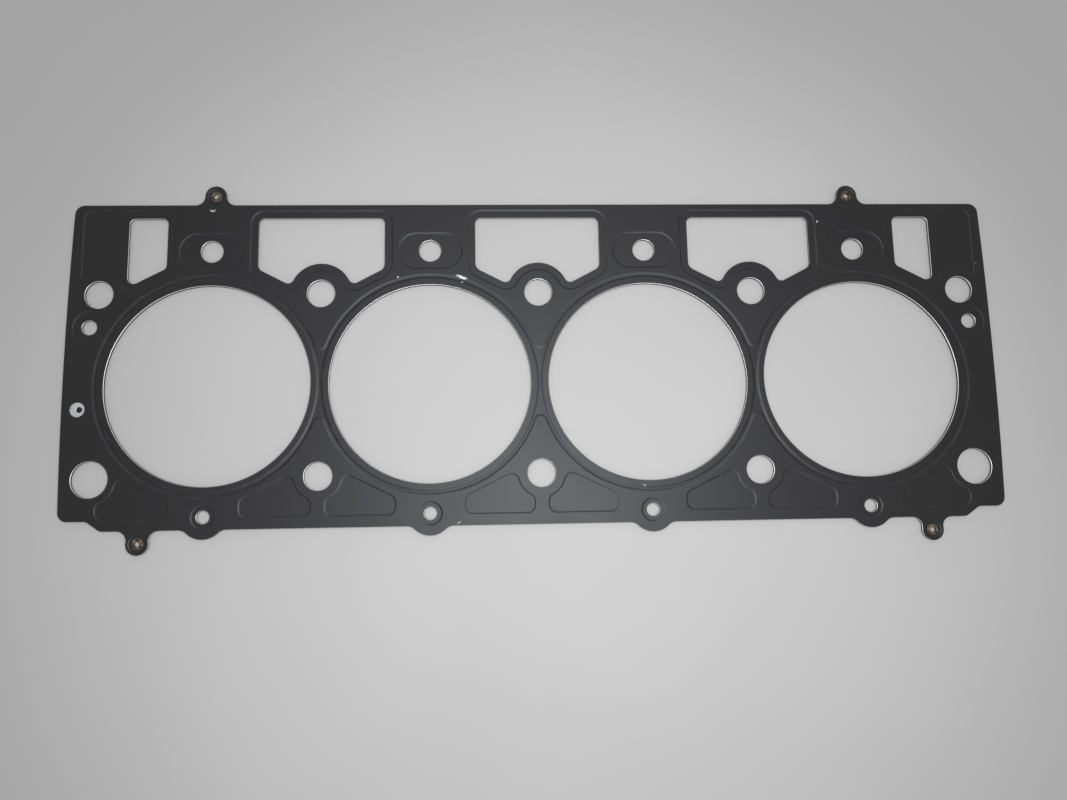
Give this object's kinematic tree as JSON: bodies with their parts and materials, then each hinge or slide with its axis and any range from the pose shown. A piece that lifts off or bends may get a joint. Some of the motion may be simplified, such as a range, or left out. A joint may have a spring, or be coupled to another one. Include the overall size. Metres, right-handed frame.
{
  "type": "cylinder head gasket",
  "caption": "Multi-layer steel head gasket for an in-line engine: round bores in a row, beaded black sheets over a plain spacer, large openings along one side.",
  "frame": {"origin": "middle of the row of bores, at the centre of the inner head bolt rectangle, on the face that lies on the block", "axes": "+X along the row of bores, towards the end without the sight hole; +Y towards the large openings; +Z from the block to the head, along the bolts"},
  "size_m": [0.4914, 0.1942, 0.0019],
  "materials": {
    "coating": "satin black rubber coating on spring steel",
    "spacer_steel": "plain rolled steel",
    "stopper_steel": "plain rolled steel shim",
    "eyelet_brass": "dull brown brass"
  },
  "bodies": {
    "root": {"top_active_layer": "coating", "spacer_layer": "spacer_steel", "bottom_active_layer": "coating", "stopper_ring_1": "stopper_steel", "stopper_ring_2": "stopper_steel", "stopper_ring_3": "stopper_steel", "stopper_ring_4": "stopper_steel", "eyelet_top_left": "eyelet_brass", "eyelet_top_right": "eyelet_brass", "eyelet_bottom_left": "eyelet_brass", "eyelet_bottom_right": "eyelet_brass"}
  },
  "joints": []
}
